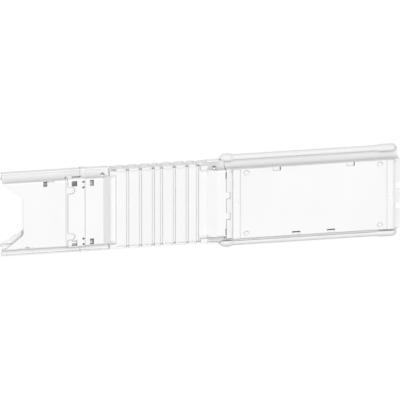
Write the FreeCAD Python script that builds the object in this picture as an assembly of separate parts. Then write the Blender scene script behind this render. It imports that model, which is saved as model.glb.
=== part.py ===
import FreeCAD, Part
import os
from math import asin, atan2, cos, degrees, radians, sin

V = FreeCAD.Vector

# A flexible busway elbow, straight, lying on its back. Lengths are in millimetres.
# While it is drawn, X runs from the open male end to the joint box, Y is across the casing,
# and Z = 0 is the plane of the seam flanges. The finished part is moved to stand on Z = 0.

# Casing section
CASING_HALF_WIDTH = 54.7
CASING_DEPTH = 19.0
FLANGE_WIDTH = 1.7
FLANGE_RISE = 6.0
FLANGE_ROUND = 1.4
SHEET = 1.5
COVE_RADIUS = 11.0
CORNER_RADIUS = 3.0

# Lengths along the part, from the tip of the male end
MALE_LENGTH = 129.3
ADAPTER_GAP = 0.8
LEFT_PLATE_LENGTH = 29.8
LEFT_SLOPE_LENGTH = 11.4
SLOPE_END_DEPTH = 10.5
RIGHT_SLOPE_LENGTH = 14.6
RIGHT_PLATE_SHOWN = 14.9
RIGHT_PLATE_INSIDE = 78.0

# Mouth of the male end
MOUTH_DEPTH = 31.2
MOUTH_HALF_FLOOR = 31.0
MOUTH_TIP_PAST = 0.5
MOUTH_CORNER_RADIUS = 8.0
BACK_MOUTH_EXTRA = 11.0

# Snap slots in the edges of the male end
HOOK_START = 63.0
HOOK_WIDTH = 6.5
HOOK_HEIGHT = 8.5
HOOK_TAIL = 10.5
CATCH_START = 34.0
CATCH_WIDTH = 6.5
CATCH_HEIGHT = 4.2
CATCH_TAIL = 11.0
EDGE_SLOT = 1.7
SLOT_REACH = 5.0

# Saddle plate on the male end
SADDLE_LENGTH = 29.9
SADDLE_LIP = 3.0
SADDLE_LAYER = 0.8
SADDLE_EDGE_GAP = 0.1
NOTCH_LENGTH = 11.3
NOTCH_WIDTH = 11.6
NOTCH_EDGE = 16.9
SQUARE_HOLE = 8.6
SQUARE_HOLE_EDGE = 6.0
SQUARE_HOLE_SETBACK = 17.5
ROUND_HOLE_RADIUS = 1.8
ROUND_HOLE_SETBACK = 2.3
ROUND_HOLES_EDGE = 3.7
ROUND_HOLES_APART = 9.0
UNDERCUT_HEIGHT = 10.6
UNDERCUT_REACH = 2.0

# Slots in the left adapter
ADAPTER_SLOT_LENGTH = 6.4
ADAPTER_SLOT_WIDTH = 9.5
ADAPTER_SLOT_START = 11.4
ADAPTER_SLOT_EDGE = 6.7

# Screw holes in the coves of both adapters, beside the crest of the slope
COVE_HOLE_RADIUS = 1.8
COVE_HOLE_OFFSET = 1.6
COVE_HOLE_ANGLE = 217.0

# Slots in the right adapter at the edge of the covers
EDGE_LENS_LENGTH = 11.0
EDGE_LENS_WIDTH = 2.4
EDGE_LENS_EDGE = 8.2

# Seam clips
CLIP_LAP = 4.2
CLIP_LENGTH = 8.2
CLIP_SHEET = 0.8
CLIP_COVE_GAP = 0.1

# Chain of links
LINK_PITCH = 20.6
SHORT_LINK_PITCH = 13.1
LAST_LINK_PITCH = 16.6
LINK_COUNT = 7
LEFT_RING_LENGTH = 9.1
RIGHT_RING_LENGTH = 14.7
PANEL_SETOUT = 6.8
ARM_THICKNESS = 3.5
ARM_HALF_DEPTH = 12.0
RING_ARM_HALF_DEPTH = 8.0
ARM_CORNER_RADIUS = 5.8
ARM_END_GAP = 1.35
ARM_FLAT_LEAST = 1.0
TONGUE_RADIUS = 6.0
RUNNING_GAP = 0.4
PIN_RADIUS = 2.5
PIN_CLEARANCE = 0.05
PANEL_DEPTH = 10.5
PANEL_SHEET = 1.4
PANEL_START = 2.0
PANEL_STEP = 1.0
LIP_RADIUS = 8.6
LIP_SHEET = 1.3
LIP_FROM = 100.0
LIP_TO = 54.0
UPSTAND_DROP = 0.6

# Lugs on the front and back of both rings
LUG_SETOUT = 2.0
LUG_HALF_DEPTH = 16.0
LUG_HOOD_REACH = 1.8
LUG_HOOD_SHEET = 3.6
LUG_SETBACK = 4.0

# Joint box covers
BOX_LENGTH = 278.5
BOX_GAP = 0.5
BOX_SHEET = 1.4
BOX_DEPTH = 24.5
BOX_FLANGE_WIDTH = 5.0
STRIP_LENGTH = 9.0
COLUMN_LENGTH = 12.5
COLUMN_DEPTH = 25.7
COLUMN_ROUND = 3.2
COLUMN_STEP = 1.2
STRIP_NOTCH_DEPTH = 6.0
STRIP_NOTCH_WIDTH = 11.0
STRIP_NOTCH_UPPER = 13.4
STRIP_NOTCH_LOWER = -20.3

# Snap slots in the edges of the covers, measured from the middle of the box
COVER_SLOT_LENGTH = 13.0
COVER_SLOT_WIDTH = 6.0
COVER_SLOT_DEPTH = 0.9
COVER_WINDOW_LENGTH = 1.3
COVER_WINDOW_WIDTH = 2.4
COVER_WINDOW_REACH = 4.5
COVER_SLOTS_TOP = 59.5
COVER_SLOTS_BOTTOM = 28.0

# Pressed dimples for the rivets of the covers
DIMPLE_INSET = 31.7
DIMPLE_EDGE = 6.8
DIMPLE_RADIUS = 5.2
DIMPLE_DEPTH = 1.9
COLUMN_DIMPLE_RADIUS = 3.0
COLUMN_DIMPLE_DEPTH = 0.8

# Seam rails
RAIL_RADIUS = 4.9
RAIL_SETOUT = 3.9
RAIL_COVE_GAP = 1.2
RAIL_TOP_GAP = 0.3
RAIL_OVERHANG = 8.5
RAIL_LIP_GAP = 0.5
RAIL_SHORT = 1.0
KNOB_COVE_GAP = 0.2
KNOB_LEFT_RADIUS = 6.8
KNOB_LEFT_NOSE = 12.5
KNOB_LEFT_LENGTH = 23.0
KNOB_RIGHT_RADIUS = 6.2
KNOB_RIGHT_NOSE = 6.2
KNOB_RIGHT_LENGTH = 32.0
KNOB_TAPER = 6.0

# Conductors
BAR_COUNT = 4
BAR_EDGE = 5.2
BAR_WIDTH = 18.0
BAR_THICKNESS = 4.0
MALE_BAR_SETBACK = 42.0
MALE_BAR_PAST = 2.7
CARRIER_SETBACK = 72.0
CARRIER_LENGTH = 16.0
BOX_BAR_SETBACK = 3.4
JAW_LENGTH = 84.0
JAW_SIDE_GAP = 5.7
JAW_DEPTH = 15.0
JAW_GAP = 5.0
BAR_IN_JAWS = 24.0

# Places worked out from the sizes above
SADDLE_START = MALE_LENGTH - SADDLE_LENGTH
LEFT_SLOPE_START = MALE_LENGTH + LEFT_PLATE_LENGTH
LEFT_RING_START = LEFT_SLOPE_START + LEFT_SLOPE_LENGTH
FIRST_HINGE = LEFT_RING_START + LEFT_RING_LENGTH
PITCHES = [LINK_PITCH] * LINK_COUNT
PITCHES[LINK_COUNT // 2] = SHORT_LINK_PITCH
PITCHES[-1] = LAST_LINK_PITCH
HINGES = [FIRST_HINGE + sum(PITCHES[:count]) for count in range(LINK_COUNT + 1)]
RIGHT_SLOPE_START = HINGES[-1] + RIGHT_RING_LENGTH
RIGHT_PLATE_START = RIGHT_SLOPE_START + RIGHT_SLOPE_LENGTH
BOX_START = RIGHT_PLATE_START + RIGHT_PLATE_SHOWN
BOX_END = BOX_START + BOX_LENGTH
BOX_MIDDLE = BOX_START + BOX_LENGTH / 2
RIGHT_CASING_END = BOX_START + RIGHT_PLATE_INSIDE
BOX_HALF_WIDTH = CASING_HALF_WIDTH + BOX_GAP + BOX_SHEET
BOX_SEAM = SHEET + BOX_GAP
BOX_COVE = COVE_RADIUS - BOX_GAP - BOX_SHEET
COVE_TOP = SHEET + COVE_RADIUS
COVE_END = CASING_HALF_WIDTH + COVE_RADIUS
FLANGE_HALF_WIDTH = COVE_END + FLANGE_WIDTH
BOX_COVE_END = BOX_HALF_WIDTH + BOX_COVE
BOX_FLANGE_HALF_WIDTH = BOX_COVE_END + BOX_FLANGE_WIDTH
CLIP_START = MALE_LENGTH - CLIP_LAP
SADDLE_EDGE = COVE_TOP + SADDLE_EDGE_GAP
STRIP_DEPTH = CASING_DEPTH + BOX_GAP + BOX_SHEET
PANEL_INNER = PANEL_DEPTH - PANEL_SHEET
ARM_INNER = CASING_HALF_WIDTH + PANEL_SETOUT
ARM_OUTER = ARM_INNER + ARM_THICKNESS
ARM_MIDDLE = (ARM_INNER + ARM_OUTER) / 2
LUG_INNER = CASING_HALF_WIDTH + LUG_SETOUT
LUG_OUTER = ARM_MIDDLE - RUNNING_GAP / 2
RAIL_SLOT = BOX_SEAM + BOX_SHEET
RAIL_AXIS = BOX_COVE_END + RAIL_SETOUT
BAR_OUTER = CASING_HALF_WIDTH - SHEET - BAR_EDGE - BAR_WIDTH / 2
BAR_SPACING = 2 * BAR_OUTER / (BAR_COUNT - 1)
BAR_PLACES = [BAR_SPACING * (number - (BAR_COUNT - 1) / 2) for number in range(BAR_COUNT)]
PAST = 2.0


def on_yz(point):
    return V(0, point[0], point[1])


def on_xz(point):
    return V(point[0], 0, point[1])


def on_xy(point):
    return V(point[0], point[1], 0)


def turn(centre, radius, start, end):
    """A round step of a profile: the middle and the end of an arc, by angles in degrees."""
    points = []
    for angle in ((start + end) / 2, end):
        points.append((centre[0] + radius * cos(radians(angle)), centre[1] + radius * sin(radians(angle))))
    return tuple(points)


def profile(steps, place):
    """A closed face: each step is the end of a line, or the middle and end of an arc."""
    edges = []
    here = steps[0]
    for step in steps[1:] + [steps[0]]:
        if isinstance(step[0], tuple):
            end = step[1]
            edges.append(Part.Arc(place(here), place(step[0]), place(end)).toShape())
        else:
            end = step
            edges.append(Part.LineSegment(place(here), place(end)).toShape())
        here = end
    return Part.Face(Part.Wire(edges))


def run_x(steps, start, end):
    return profile(steps, on_yz).extrude(V(end - start, 0, 0)).translated(V(start, 0, 0))


def run_y(steps, start, end):
    return profile(steps, on_xz).extrude(V(0, end - start, 0)).translated(V(0, start, 0))


def run_z(steps, start, end):
    return profile(steps, on_xy).extrude(V(0, 0, end - start)).translated(V(0, 0, start))


def block(low, high):
    size = V(*high) - V(*low)
    return Part.makeBox(size.x, size.y, size.z, V(*low))


def flip_y(shape):
    return shape.mirror(V(0, 0, 0), V(0, 1, 0))


def flip_z(shape):
    return shape.mirror(V(0, 0, 0), V(0, 0, 1))


def join(shapes):
    first = shapes[0]
    return first.fuse(shapes[1:]).removeSplitter() if len(shapes) > 1 else first


def both_ways(shapes):
    return shapes + [flip_y(shape) for shape in shapes]


def both_sides(shape):
    """The shape and its mirror image across Y, as one solid or as two."""
    return join([shape, flip_y(shape)])


def seam_strip(half, seam, sheet, cove, flange):
    """Cove and flange of a half shell on the +Y side, from the ledge out to the edge of the flange."""
    centre = (half + cove, seam + sheet + cove)
    return [
        (half, centre[1]),
        turn(centre, cove, 180, 270),
        (flange, seam + sheet),
        (flange, seam),
        (half + cove, seam),
        turn(centre, cove + sheet, 270, 180),
    ]


def flange_lips(start, end):
    """Lips that stand up along the outer edges of the seam flanges, rounded outside."""
    corner = (FLANGE_HALF_WIDTH - FLANGE_ROUND, FLANGE_RISE - FLANGE_ROUND)
    steps = [
        (COVE_END, 0),
        (COVE_END, FLANGE_RISE),
        (corner[0], FLANGE_RISE),
        turn(corner, FLANGE_ROUND, 90, 0),
        (FLANGE_HALF_WIDTH, 0),
    ]
    lip = run_x(steps, start, end)
    return [lip, flip_y(lip)]


def casing_half(start, end):
    """Straight front half of the casing: plate, rounded ledges, coves and seam flanges."""
    corner = (CASING_HALF_WIDTH - CORNER_RADIUS, CASING_DEPTH - CORNER_RADIUS)
    steps = [
        (0, CASING_DEPTH),
        (corner[0], CASING_DEPTH),
        turn(corner, CORNER_RADIUS, 90, 0),
        (CASING_HALF_WIDTH, COVE_TOP),
        (CASING_HALF_WIDTH - SHEET, COVE_TOP),
        (CASING_HALF_WIDTH - SHEET, corner[1]),
        turn(corner, CORNER_RADIUS - SHEET, 0, 90),
        (0, CASING_DEPTH - SHEET),
    ]
    plate = run_x(steps, start, end)
    strip = seam_strip(CASING_HALF_WIDTH, 0, SHEET, COVE_RADIUS, FLANGE_HALF_WIDTH)
    return both_sides(join([plate, run_x(strip, start, end)]))


def mouth_cut(extra):
    """Prism that opens the end of a plate: straight floor, sloping sides, rounded corners."""
    depth = MOUTH_DEPTH + extra
    tip = CASING_HALF_WIDTH + MOUTH_TIP_PAST
    rise = (tip - MOUTH_HALF_FLOOR) / depth
    outside = tip + rise * PAST
    steps = [(-PAST, -outside), (depth, -MOUTH_HALF_FLOOR), (depth, MOUTH_HALF_FLOOR), (-PAST, outside)]
    prism = run_z(steps, COVE_TOP, CASING_DEPTH + PAST)
    corners = [edge for edge in prism.Edges if abs(edge.tangentAt(edge.FirstParameter).z) > 0.9
               and edge.CenterOfMass.x > 0]
    return prism.makeFillet(MOUTH_CORNER_RADIUS, corners)


def snap_slots():
    """Hook slot in the upper edge and catch slot in the lower edge of the male end."""
    edge = CASING_HALF_WIDTH
    top = CASING_DEPTH + PAST
    floor = CASING_DEPTH - SLOT_REACH
    hook = block((HOOK_START, edge - HOOK_HEIGHT, floor), (HOOK_START + HOOK_WIDTH, edge + PAST, top))
    tail_end = HOOK_START + HOOK_WIDTH + HOOK_TAIL
    tail = block((HOOK_START, edge - EDGE_SLOT, floor), (tail_end, edge + PAST, top))
    catch = block((CATCH_START, -edge - PAST, floor), (CATCH_START + CATCH_WIDTH, CATCH_HEIGHT - edge, top))
    lead = block((CATCH_START - CATCH_TAIL, -edge - PAST, floor), (CATCH_START, EDGE_SLOT - edge, top))
    return [hook, tail, catch, lead]


def square_holes():
    low = SADDLE_START + SQUARE_HOLE_SETBACK - SQUARE_HOLE
    inner = CASING_HALF_WIDTH - SQUARE_HOLE_EDGE - SQUARE_HOLE / 2
    hole = block((low, inner, COVE_TOP), (low + SQUARE_HOLE, inner + SQUARE_HOLE, CASING_DEPTH + 2 * PAST))
    return [hole, flip_y(hole)]


def round_holes():
    holes = []
    outer = CASING_HALF_WIDTH - ROUND_HOLES_EDGE
    inner = outer - ROUND_HOLES_APART
    for place in (outer, inner, -inner, -outer):
        foot = V(MALE_LENGTH - ROUND_HOLE_SETBACK, place, COVE_TOP)
        holes.append(Part.makeCylinder(ROUND_HOLE_RADIUS, CASING_DEPTH, foot))
    return holes


def undercuts():
    """Openings in the ledges behind the wrapped edges of the saddle."""
    low = (SADDLE_START, CASING_HALF_WIDTH - SHEET - PAST, SADDLE_EDGE - UNDERCUT_HEIGHT)
    high = (MALE_LENGTH - ROUND_HOLE_SETBACK, CASING_HALF_WIDTH + UNDERCUT_REACH, SADDLE_EDGE)
    cut = block(low, high)
    return [cut, flip_y(cut)]


def male_casing(extra):
    shell = join([casing_half(0, MALE_LENGTH)] + flange_lips(0, MALE_LENGTH))
    cuts = [mouth_cut(extra)] + snap_slots() + square_holes() + round_holes() + undercuts()
    return shell.cut(cuts)


def saddle_layer(start, thickness):
    """One layer of the saddle: a plate that wraps over both ledges of the casing."""
    inner = CASING_HALF_WIDTH
    outer = inner + thickness
    face = CASING_DEPTH + thickness
    low = SADDLE_EDGE
    centre = (inner - CORNER_RADIUS, CASING_DEPTH - CORNER_RADIUS)
    steps = [
        (0, face),
        (centre[0], face),
        turn(centre, CORNER_RADIUS + thickness, 90, 0),
        (outer, low),
        (inner, low),
        (inner, CASING_DEPTH - CORNER_RADIUS / 2),
        (inner - CORNER_RADIUS / 2, CASING_DEPTH),
        (0, CASING_DEPTH),
    ]
    return both_sides(run_x(steps, start, MALE_LENGTH))


def saddle_notches():
    """Round-ended notches in the upper layer only."""
    start = SADDLE_START + SADDLE_LIP
    radius = NOTCH_WIDTH / 2
    middle = CASING_HALF_WIDTH - NOTCH_EDGE
    round_centre = (start + NOTCH_LENGTH - radius, middle)
    steps = [
        (start - PAST, middle - radius),
        (round_centre[0], middle - radius),
        turn(round_centre, radius, -90, 90),
        (start - PAST, middle + radius),
    ]
    notch = run_z(steps, CASING_DEPTH + SADDLE_LAYER, CASING_DEPTH + 2 * PAST)
    return [notch, flip_y(notch)]


def saddle():
    upper = saddle_layer(SADDLE_START + SADDLE_LIP, 2 * SADDLE_LAYER).cut(saddle_notches())
    plate = saddle_layer(SADDLE_START, SADDLE_LAYER).fuse(upper).removeSplitter()
    return plate.cut(square_holes() + round_holes())


def seam_clip():
    """Folded clip over lips and coves where the male casing meets the adapter."""
    centre = (COVE_END, COVE_TOP)
    near = COVE_RADIUS - CLIP_COVE_GAP
    far = near - CLIP_SHEET
    wall = COVE_END - CLIP_COVE_GAP
    outer = FLANGE_HALF_WIDTH + CLIP_SHEET
    near_end = 270 - degrees(asin((COVE_END - wall) / near))
    far_end = 270 - degrees(asin((COVE_END - wall + CLIP_SHEET) / far))
    steps = [
        (FLANGE_HALF_WIDTH, 0),
        (FLANGE_HALF_WIDTH, FLANGE_RISE),
        (wall, FLANGE_RISE),
        turn(centre, near, near_end, near_end)[1],
        turn(centre, near, near_end, 180),
        (COVE_END - far, COVE_TOP),
        turn(centre, far, 180, far_end),
        (wall - CLIP_SHEET, FLANGE_RISE + CLIP_SHEET),
        (outer, FLANGE_RISE + CLIP_SHEET),
        (outer, 0),
    ]
    half = run_x(steps, CLIP_START, CLIP_START + CLIP_LENGTH)
    return join([half, flip_z(half)])


def slope(foot, crest):
    """Front half of an adapter's sloping end: between the coves the plate sinks from crest to chain."""
    wall = CASING_HALF_WIDTH
    low = SLOPE_END_DEPTH
    plate_steps = [(foot, low - SHEET), (crest, CASING_DEPTH - SHEET), (crest, CASING_DEPTH), (foot, low)]
    plate = run_y(plate_steps, -wall, wall)
    rim = crest + (foot - crest) * (CASING_DEPTH - COVE_TOP) / (CASING_DEPTH - low)
    cheek = run_y([(rim, COVE_TOP), (crest, COVE_TOP), (crest, CASING_DEPTH)], wall - SHEET, wall)
    strip = seam_strip(wall, 0, SHEET, COVE_RADIUS, FLANGE_HALF_WIDTH)
    edge = run_x(strip, min(foot, crest), max(foot, crest))
    return join([plate] + both_ways([cheek, edge]))


def cove_holes(place):
    """Screw hole through the cove on each side."""
    axis = V(0, cos(radians(COVE_HOLE_ANGLE)), sin(radians(COVE_HOLE_ANGLE)))
    middle = V(place, COVE_END, COVE_TOP)
    hole = Part.makeCylinder(COVE_HOLE_RADIUS, SHEET + PAST, middle + axis * (COVE_RADIUS - PAST / 2), axis)
    return [hole, flip_y(hole)]


def edge_lens():
    """Narrow round-ended slot in the right adapter's plate, along the edge of the cover."""
    radius = EDGE_LENS_WIDTH / 2
    high = CASING_HALF_WIDTH - EDGE_LENS_EDGE + EDGE_LENS_LENGTH / 2 - radius
    low = CASING_HALF_WIDTH - EDGE_LENS_EDGE - EDGE_LENS_LENGTH / 2 + radius
    steps = [
        (BOX_START - radius, low),
        turn((BOX_START, low), radius, 180, 360),
        (BOX_START + radius, high),
        turn((BOX_START, high), radius, 0, 180),
    ]
    slot = run_z(steps, COVE_TOP, CASING_DEPTH + PAST)
    return [slot, flip_y(slot)]


def left_adapter():
    straight = casing_half(MALE_LENGTH + ADAPTER_GAP, LEFT_SLOPE_START)
    low = MALE_LENGTH + ADAPTER_SLOT_START - ADAPTER_SLOT_LENGTH / 2
    inner = CASING_HALF_WIDTH - ADAPTER_SLOT_EDGE - ADAPTER_SLOT_WIDTH / 2
    high = (low + ADAPTER_SLOT_LENGTH, inner + ADAPTER_SLOT_WIDTH, CASING_DEPTH + PAST)
    slot = block((low, inner, COVE_TOP), high)
    lips = flange_lips(MALE_LENGTH + ADAPTER_GAP, LEFT_RING_START)
    shell = join([straight, slope(LEFT_RING_START, LEFT_SLOPE_START)] + lips)
    return shell.cut([slot, flip_y(slot)] + cove_holes(LEFT_SLOPE_START + COVE_HOLE_OFFSET))


def right_adapter():
    straight = casing_half(RIGHT_PLATE_START, RIGHT_CASING_END)
    lips = flange_lips(RIGHT_SLOPE_START, BOX_START - RAIL_OVERHANG - RAIL_LIP_GAP)
    shell = join([straight, slope(RIGHT_SLOPE_START, RIGHT_PLATE_START)] + lips)
    return shell.cut(cove_holes(RIGHT_PLATE_START - COVE_HOLE_OFFSET) + edge_lens())


def panel(start, hinge):
    """Front panel of a link: a flat, a step down, and a lip that curves about the next hinge."""
    centre = (hinge, 0)
    under = LIP_RADIUS - LIP_SHEET
    lip_start = turn(centre, LIP_RADIUS, LIP_FROM, LIP_FROM)[1]
    under_end = turn(centre, under, LIP_TO, LIP_TO)[1]
    steps = [
        (start, PANEL_DEPTH),
        (lip_start[0] - PANEL_STEP, PANEL_DEPTH),
        lip_start,
        turn(centre, LIP_RADIUS, LIP_FROM, LIP_TO),
        under_end,
        turn(centre, under, LIP_TO, LIP_FROM),
        (lip_start[0] - PANEL_STEP - PANEL_SHEET / 2, PANEL_INNER),
        (start, PANEL_INNER),
    ]
    return steps


def ring_panel(start, hinge):
    """Front panel of the left ring: an upstand at the slope, a flat, and a lip about the first hinge."""
    centre = (hinge, 0)
    under = LIP_RADIUS - LIP_SHEET
    return [
        (start, SLOPE_END_DEPTH - UPSTAND_DROP),
        (start + LIP_SHEET, SLOPE_END_DEPTH - UPSTAND_DROP),
        (start + LIP_SHEET, LIP_RADIUS),
        (hinge, LIP_RADIUS),
        turn(centre, LIP_RADIUS, 90, LIP_TO),
        turn(centre, under, LIP_TO, LIP_TO)[1],
        turn(centre, under, LIP_TO, 90),
        (start, under),
    ]


def panels(steps, lip_from):
    """Front and back panels between the arms; the lip stays clear of the next link's arms."""
    front = run_y(steps, -ARM_INNER, ARM_INNER)
    trim_high = (lip_from + 2 * LIP_RADIUS, ARM_INNER + PAST, PANEL_DEPTH + PAST)
    trim = block((lip_from, ARM_INNER - RUNNING_GAP, 0), trim_high)
    front = front.cut([trim, flip_y(trim)])
    return [front, flip_z(front)]


def arm_block(start, end, round_start, round_end):
    """Upper arm of a link seen from above: rounded where it faces a hinge, square where it is fixed."""
    radius = min(ARM_CORNER_RADIUS, (end - start - ARM_FLAT_LEAST) / (round_start + round_end))
    deep = ARM_HALF_DEPTH if round_start and round_end else RING_ARM_HALF_DEPTH
    flat = deep - radius
    if round_start:
        steps = [(start, flat), turn((start + radius, flat), radius, 180, 90)]
        finish = [(start + radius, -deep), turn((start + radius, -flat), radius, 270, 180)]
    else:
        steps = [(start, deep)]
        finish = [(start, -deep)]
    if round_end:
        steps += [(end - radius, deep), turn((end - radius, flat), radius, 90, 0)]
        steps += [(end, -flat), turn((end - radius, -flat), radius, 0, -90)]
    else:
        steps += [(end, deep), (end, -deep)]
    return run_y(steps + finish, ARM_INNER, ARM_OUTER)


def upright(radius, hinge, low, high):
    """Round bar along a hinge axis."""
    return Part.makeCylinder(radius, high - low, V(hinge, low, 0), V(0, 1, 0))


def arm_with_tongues(start, end, left_hinge, right_hinge):
    """Upper arm with an outer tongue on the hinge before it and an inner tongue on the one after."""
    arm = arm_block(start, end, left_hinge is not None, right_hinge is not None)
    lap = RUNNING_GAP / 2
    clear = TONGUE_RADIUS + RUNNING_GAP
    hole = PIN_RADIUS + PIN_CLEARANCE
    if left_hinge is not None:
        arm = arm.cut(upright(clear, left_hinge, ARM_INNER - PAST, ARM_MIDDLE + lap))
        tongue = upright(TONGUE_RADIUS, left_hinge, ARM_MIDDLE + lap, ARM_OUTER)
        neck = block((left_hinge, ARM_MIDDLE + lap, -TONGUE_RADIUS), (start + PAST, ARM_OUTER, TONGUE_RADIUS))
        arm = join([arm, tongue, neck])
        arm = arm.cut(upright(hole, left_hinge, ARM_INNER - PAST, ARM_OUTER + PAST))
    if right_hinge is not None:
        arm = arm.cut(upright(clear, right_hinge, ARM_MIDDLE - lap, ARM_OUTER + PAST))
        tongue = upright(TONGUE_RADIUS, right_hinge, ARM_INNER, ARM_MIDDLE - lap)
        neck = block((end - PAST, ARM_INNER, -TONGUE_RADIUS), (right_hinge, ARM_MIDDLE - lap, TONGUE_RADIUS))
        arm = join([arm, tongue, neck])
        arm = arm.cut(upright(hole, right_hinge, ARM_INNER - PAST, ARM_OUTER + PAST))
    return arm


def link(left_hinge, right_hinge):
    arm = arm_with_tongues(left_hinge + ARM_END_GAP, right_hinge - ARM_END_GAP, left_hinge, right_hinge)
    steps = panel(left_hinge + PANEL_START, right_hinge)
    return join([arm, flip_y(arm)] + panels(steps, right_hinge - ARM_END_GAP))


def left_ring():
    """Ring on the left adapter; its lugs reach over the first link as hoods."""
    hinge = HINGES[0]
    end = hinge - ARM_END_GAP
    arm = arm_with_tongues(LEFT_RING_START, end, None, hinge)
    steps = ring_panel(LEFT_RING_START, hinge)
    lug = block((LEFT_RING_START, LUG_INNER, -LUG_HALF_DEPTH), (end, LUG_OUTER, LUG_HALF_DEPTH))
    hood_low = (LEFT_RING_START, LUG_INNER, LUG_HALF_DEPTH - LUG_HOOD_SHEET)
    hood = block(hood_low, (hinge + LUG_HOOD_REACH, LUG_OUTER, LUG_HALF_DEPTH))
    bore = upright(PIN_RADIUS + PIN_CLEARANCE, hinge, LUG_INNER - PAST, ARM_OUTER + PAST)
    arm = join([arm, lug, hood, flip_z(hood)]).cut(bore)
    return join([arm, flip_y(arm)] + panels(steps, end))


def right_ring():
    """Ring on the right adapter; its lugs stay clear of the last link's lip."""
    hinge = HINGES[-1]
    arm = arm_with_tongues(hinge + ARM_END_GAP, RIGHT_SLOPE_START, hinge, None)
    low = (hinge + PANEL_START, -ARM_INNER, PANEL_INNER)
    plate = block(low, (RIGHT_SLOPE_START, ARM_INNER, PANEL_DEPTH))
    lug_low = (hinge + LUG_SETBACK, LUG_INNER, -LUG_HALF_DEPTH)
    lug = block(lug_low, (RIGHT_SLOPE_START, LUG_OUTER, LUG_HALF_DEPTH))
    lug = lug.cut(upright(LIP_RADIUS + RUNNING_GAP, hinge, LUG_INNER - PAST, LUG_OUTER + PAST))
    arm = join([arm, lug])
    return join([arm, flip_y(arm), plate, flip_z(plate)])


def pin(hinge):
    return upright(PIN_RADIUS, hinge, ARM_INNER, ARM_OUTER)


def cover_line(inset):
    """Crest line of a cover along X: end strip, rounded column, plate, column, strip."""
    strip = STRIP_DEPTH - inset
    column = COLUMN_DEPTH - inset
    plate = BOX_DEPTH - inset
    left = BOX_START + STRIP_LENGTH + inset
    right = BOX_END - STRIP_LENGTH - inset
    radius = COLUMN_ROUND - inset
    width = COLUMN_LENGTH - inset
    flat = column - radius
    return [
        (BOX_START, strip),
        (left, strip),
        (left, flat),
        turn((left + radius, flat), radius, 180, 90),
        (left + width - COLUMN_STEP, column),
        (left + width, plate),
        (right - width, plate),
        (right - width + COLUMN_STEP, column),
        (right - radius, column),
        turn((right - radius, flat), radius, 90, 0),
        (right, strip),
        (BOX_END, strip),
    ]


def strip_notches():
    cuts = []
    for middle in (STRIP_NOTCH_UPPER, STRIP_NOTCH_LOWER):
        low = middle - STRIP_NOTCH_WIDTH / 2
        high = middle + STRIP_NOTCH_WIDTH / 2
        for start in (BOX_START - PAST, BOX_END - STRIP_NOTCH_DEPTH):
            length = STRIP_NOTCH_DEPTH + PAST
            cuts.append(block((start, low, COVE_TOP), (start + length, high, COLUMN_DEPTH + PAST)))
    return cuts


def cover_slots():
    """Shallow snap slots along the edges of the plate, open at one end above and all along below."""
    cuts = []
    floor = BOX_DEPTH - COVER_SLOT_DEPTH
    edge = BOX_HALF_WIDTH
    for side, spread in ((1, COVER_SLOTS_TOP), (-1, COVER_SLOTS_BOTTOM)):
        for middle in (BOX_MIDDLE - spread, BOX_MIDDLE + spread):
            low = (middle - COVER_SLOT_LENGTH / 2, edge - COVER_SLOT_WIDTH, floor)
            high = (middle + COVER_SLOT_LENGTH / 2, edge + PAST, BOX_DEPTH + PAST)
            through = BOX_DEPTH - COVER_WINDOW_REACH
            slot = block(low, high)
            if side > 0:
                cuts.append(slot.fuse(block((high[0] - COVER_WINDOW_LENGTH, low[1], through), high)))
            else:
                window_high = (high[0], low[1] + COVER_WINDOW_WIDTH, high[2])
                cuts.append(flip_y(slot.fuse(block((low[0], low[1], through), window_high))))
    return cuts


def dimple_ball(x, y, face, radius, depth):
    """Ball that presses a dimple of that radius and depth into a face, as its radius and centre."""
    ball = (radius ** 2 + depth ** 2) / (2 * depth)
    return ball, V(x, y, face - depth + ball)


def press_dimples(shell):
    """Corner dimples, pressed right through the sheet, and shallow ones in the middle of the columns."""
    backs = []
    cuts = []
    low = BOX_DEPTH - BOX_SHEET
    for x in (BOX_START + DIMPLE_INSET, BOX_END - DIMPLE_INSET):
        for y in (DIMPLE_EDGE - BOX_HALF_WIDTH, BOX_HALF_WIDTH - DIMPLE_EDGE):
            ball, centre = dimple_ball(x, y, BOX_DEPTH, DIMPLE_RADIUS, DIMPLE_DEPTH)
            reach = DIMPLE_RADIUS + 2 * BOX_SHEET
            keep_low = (x - reach, y - reach, low - 2 * DIMPLE_DEPTH)
            keep = block(keep_low, (x + reach, y + reach, low + BOX_SHEET / 2))
            backs.append(Part.makeSphere(ball + BOX_SHEET, centre).common(keep))
            cuts.append(Part.makeSphere(ball, centre))
    column = STRIP_LENGTH + COLUMN_LENGTH / 2
    for x in (BOX_START + column, BOX_END - column):
        ball, centre = dimple_ball(x, 0, COLUMN_DEPTH, COLUMN_DIMPLE_RADIUS, COLUMN_DIMPLE_DEPTH)
        cuts.append(Part.makeSphere(ball, centre))
    return shell.fuse(backs).removeSplitter().cut(cuts)


def cover():
    """Front cover of the joint box: pressed plate with columns, end strips, coves and flanges."""
    outer_steps = [(BOX_START, COVE_TOP)] + cover_line(0) + [(BOX_END, COVE_TOP)]
    inner_steps = [(BOX_START, COVE_TOP)] + cover_line(BOX_SHEET) + [(BOX_END, COVE_TOP)]
    inner_wall = BOX_HALF_WIDTH - BOX_SHEET
    outer = run_y(outer_steps, -BOX_HALF_WIDTH, BOX_HALF_WIDTH)
    inner = run_y(inner_steps, -inner_wall, inner_wall)
    strip = seam_strip(BOX_HALF_WIDTH, BOX_SEAM, BOX_SHEET, BOX_COVE, BOX_FLANGE_HALF_WIDTH)
    edge = run_x(strip, BOX_START, BOX_END)
    shell = join([outer.cut(inner), edge, flip_y(edge)])
    return press_dimples(shell.cut(strip_notches() + cover_slots()))


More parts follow.
